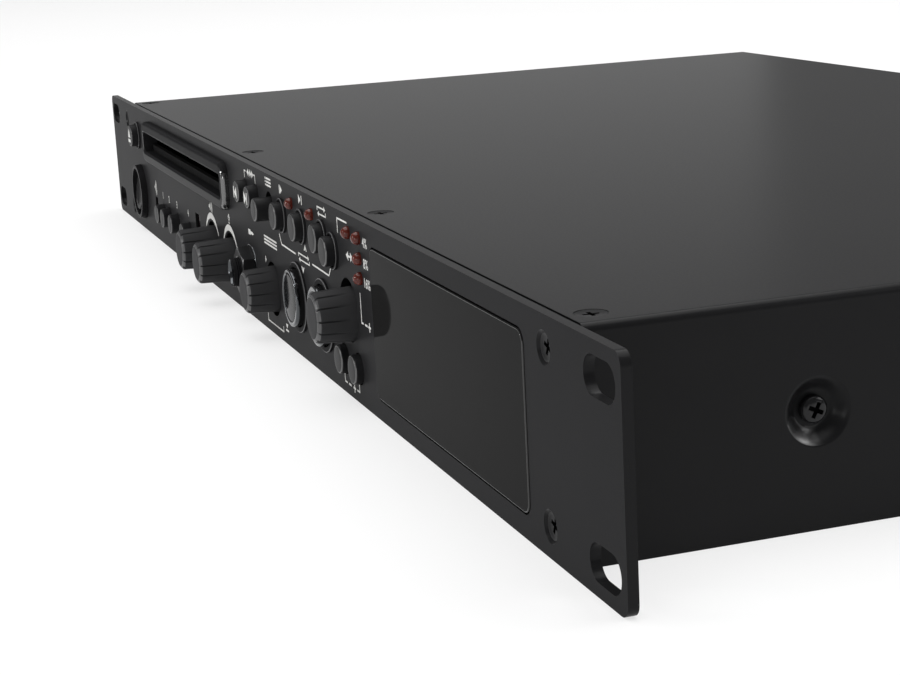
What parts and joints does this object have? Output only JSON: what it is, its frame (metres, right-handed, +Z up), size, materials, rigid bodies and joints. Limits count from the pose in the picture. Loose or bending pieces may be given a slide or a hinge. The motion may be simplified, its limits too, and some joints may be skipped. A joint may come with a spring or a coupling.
{
  "type": "rack-mount disc player",
  "caption": "One-unit rack-mount disc player with a slot-loading drive, fluted knobs, push buttons, display window, microphone jack and rocker mains switch on a black panel with slotted ears.",
  "frame": {"origin": "centre of the four rack slots, on the rear face of the front panel", "axes": "+X to the right as seen from the front, +Y to the rear, +Z up"},
  "size_m": [0.4826, 0.2747, 0.044],
  "materials": {
    "panel_paint": "satin black powder coat",
    "cover_paint": "matte black powder coat",
    "zinc_steel": "zinc plated",
    "black_screw": "black oxide",
    "black_plastic": "satin moulded",
    "key_plastic": "fine matte",
    "knob_plastic": "soft matte",
    "bright_plating": "polished",
    "red_lens": "clear tinted",
    "sensor_lens": "dark tinted",
    "window_acrylic": "polished smoke tint",
    "display_glass": "dark",
    "board_epoxy": "solder mask",
    "felt": "felt",
    "roller_rubber": "matte",
    "core_steel": "varnished laminations"
  },
  "bodies": {
    "chassis": {"front_panel": "panel_paint", "panel_screws": "black_screw", "chassis_tray": "cover_paint", "top_cover": "cover_paint", "cover_screws": "black_screw", "side_screws": "black_screw", "slot_bezel": "black_plastic", "slot_felts": "felt", "switch_body": "black_plastic", "button_collars": "black_plastic", "cue_rings": "black_plastic", "jack_body": "black_plastic", "jack_nut": "black_plastic", "leds": "red_lens", "sensor_windows": "sensor_lens", "display_window": "window_acrylic", "display_module": "display_glass", "control_board": "board_epoxy", "key_switches": "black_plastic", "pots": "zinc_steel", "standoffs": "zinc_steel", "main_board": "board_epoxy", "board_parts": "black_plastic", "transformer": "core_steel", "drive_deck": "zinc_steel", "drive_top": "zinc_steel", "drive_screws": "zinc_steel", "loading_motor": "zinc_steel", "spindle_motor": "zinc_steel", "guide_rods": "zinc_steel", "feed_motor": "zinc_steel", "rca_sockets": "black_plastic", "mains_inlet": "black_plastic"},
    "power_rocker": {"power_rocker": "key_plastic"},
    "eject_button": {"eject_button": "key_plastic"},
    "key_1": {"key_1": "key_plastic"},
    "key_2": {"key_2": "key_plastic"},
    "key_3": {"key_3": "key_plastic"},
    "key_4": {"key_4": "key_plastic"},
    "search_back": {"search_back": "key_plastic"},
    "search_forward": {"search_forward": "key_plastic"},
    "mode_button": {"mode_button": "key_plastic"},
    "loop_1": {"loop_1": "key_plastic"},
    "loop_2": {"loop_2": "key_plastic"},
    "loop_3": {"loop_3": "key_plastic"},
    "loop_4": {"loop_4": "key_plastic"},
    "cue_button": {"cue_button": "bright_plating"},
    "play_button": {"play_button": "bright_plating"},
    "bend_down": {"bend_down": "key_plastic"},
    "bend_up": {"bend_up": "key_plastic"},
    "knob_1": {"knob_1": "knob_plastic"},
    "knob_2": {"knob_2": "knob_plastic"},
    "encoder_shaft": {"encoder_shaft": "zinc_steel"},
    "encoder_knob": {"encoder_knob": "knob_plastic"},
    "pitch_knob": {"pitch_knob": "knob_plastic"},
    "turntable": {"turntable": "black_plastic"},
    "clamp": {"clamp": "black_plastic"},
    "loading_roller": {"loading_roller": "roller_rubber"},
    "pickup_sled": {"pickup_sled": "black_plastic"},
    "lead_screw": {"lead_screw": "zinc_steel"}
  },
  "joints": [
    {"name": "eject_button_press", "type": "slide", "parent": "chassis", "child": "eject_button", "axis": [0, 1, 0], "range_m": [0, 0.0005], "stiffness_N_per_m": 1500},
    {"name": "key_1_press", "type": "slide", "parent": "chassis", "child": "key_1", "axis": [0, 1, 0], "range_m": [0, 0.0005], "stiffness_N_per_m": 1500},
    {"name": "key_2_press", "type": "slide", "parent": "chassis", "child": "key_2", "axis": [0, 1, 0], "range_m": [0, 0.0005], "stiffness_N_per_m": 1500},
    {"name": "key_3_press", "type": "slide", "parent": "chassis", "child": "key_3", "axis": [0, 1, 0], "range_m": [0, 0.0005], "stiffness_N_per_m": 1500},
    {"name": "key_4_press", "type": "slide", "parent": "chassis", "child": "key_4", "axis": [0, 1, 0], "range_m": [0, 0.0005], "stiffness_N_per_m": 1500},
    {"name": "search_back_press", "type": "slide", "parent": "chassis", "child": "search_back", "axis": [0, 1, 0], "range_m": [0, 0.0005], "stiffness_N_per_m": 1500},
    {"name": "search_forward_press", "type": "slide", "parent": "chassis", "child": "search_forward", "axis": [0, 1, 0], "range_m": [0, 0.0005], "stiffness_N_per_m": 1500},
    {"name": "mode_button_press", "type": "slide", "parent": "chassis", "child": "mode_button", "axis": [0, 1, 0], "range_m": [0, 0.0005], "stiffness_N_per_m": 1500},
    {"name": "loop_1_press", "type": "slide", "parent": "chassis", "child": "loop_1", "axis": [0, 1, 0], "range_m": [0, 0.0005], "stiffness_N_per_m": 1500},
    {"name": "loop_2_press", "type": "slide", "parent": "chassis", "child": "loop_2", "axis": [0, 1, 0], "range_m": [0, 0.0005], "stiffness_N_per_m": 1500},
    {"name": "loop_3_press", "type": "slide", "parent": "chassis", "child": "loop_3", "axis": [0, 1, 0], "range_m": [0, 0.0005], "stiffness_N_per_m": 1500},
    {"name": "loop_4_press", "type": "slide", "parent": "chassis", "child": "loop_4", "axis": [0, 1, 0], "range_m": [0, 0.0005], "stiffness_N_per_m": 1500},
    {"name": "cue_button_press", "type": "slide", "parent": "chassis", "child": "cue_button", "axis": [0, 1, 0], "range_m": [0, 0.0005], "stiffness_N_per_m": 1500},
    {"name": "play_button_press", "type": "slide", "parent": "chassis", "child": "play_button", "axis": [0, 1, 0], "range_m": [0, 0.0005], "stiffness_N_per_m": 1500},
    {"name": "bend_down_press", "type": "slide", "parent": "chassis", "child": "bend_down", "axis": [0, 1, 0], "range_m": [0, 0.0005], "stiffness_N_per_m": 1500},
    {"name": "bend_up_press", "type": "slide", "parent": "chassis", "child": "bend_up", "axis": [0, 1, 0], "range_m": [0, 0.0005], "stiffness_N_per_m": 1500},
    {"name": "encoder_press", "type": "slide", "parent": "chassis", "child": "encoder_shaft", "axis": [0, 1, 0], "range_m": [0, 0.0005], "stiffness_N_per_m": 1500},
    {"name": "power_rock", "type": "hinge", "parent": "chassis", "child": "power_rocker", "pos_m": [-0.1875, 0.001, -0.0082], "axis": [1, 0, 0], "range_deg": [0, 14]},
    {"name": "knob_1_turn", "type": "hinge", "parent": "chassis", "child": "knob_1", "pos_m": [-0.067, -0.006, -0.0096], "axis": [0, -1, 0], "range_deg": [-140, 140]},
    {"name": "knob_2_turn", "type": "hinge", "parent": "chassis", "child": "knob_2", "pos_m": [-0.042, -0.006, -0.0096], "axis": [0, -1, 0], "range_deg": [-140, 140]},
    {"name": "pitch_knob_turn", "type": "hinge", "parent": "chassis", "child": "pitch_knob", "pos_m": [0.0845, -0.006, -0.0018], "axis": [0, -1, 0], "range_deg": [-140, 140]},
    {"name": "encoder_turn", "type": "hinge", "parent": "encoder_shaft", "child": "encoder_knob", "pos_m": [0.0095, -0.006, -0.0092], "axis": [0, -1, 0], "continuous": true},
    {"name": "turntable_spin", "type": "hinge", "parent": "chassis", "child": "turntable", "pos_m": [-0.1035, 0.086, 0.0078], "axis": [0, 0, 1], "continuous": true},
    {"name": "roller_spin", "type": "hinge", "parent": "chassis", "child": "loading_roller", "pos_m": [-0.1035, 0.021, 0.007], "axis": [1, 0, 0], "continuous": true},
    {"name": "sled_feed", "type": "slide", "parent": "chassis", "child": "pickup_sled", "axis": [0, 1, 0], "range_m": [0, 0.035]},
    {"name": "lead_turn", "type": "hinge", "parent": "chassis", "child": "lead_screw", "pos_m": [-0.0765, 0.12, 0], "axis": [0, 1, 0], "range_deg": [0, 3151]},
    {"name": "clamp_swing", "type": "hinge", "parent": "chassis", "child": "clamp", "pos_m": [-0.1035, 0.1635, 0.0185], "axis": [1, 0, 0], "range_deg": [0, 2.7], "stiffness_Nm_per_rad": 0.03, "springref_deg": -8.59}
  ],
  "couplings": [
    {"joint": "lead_turn", "follows": "sled_feed", "rad_per_m": 1570.8}
  ]
}
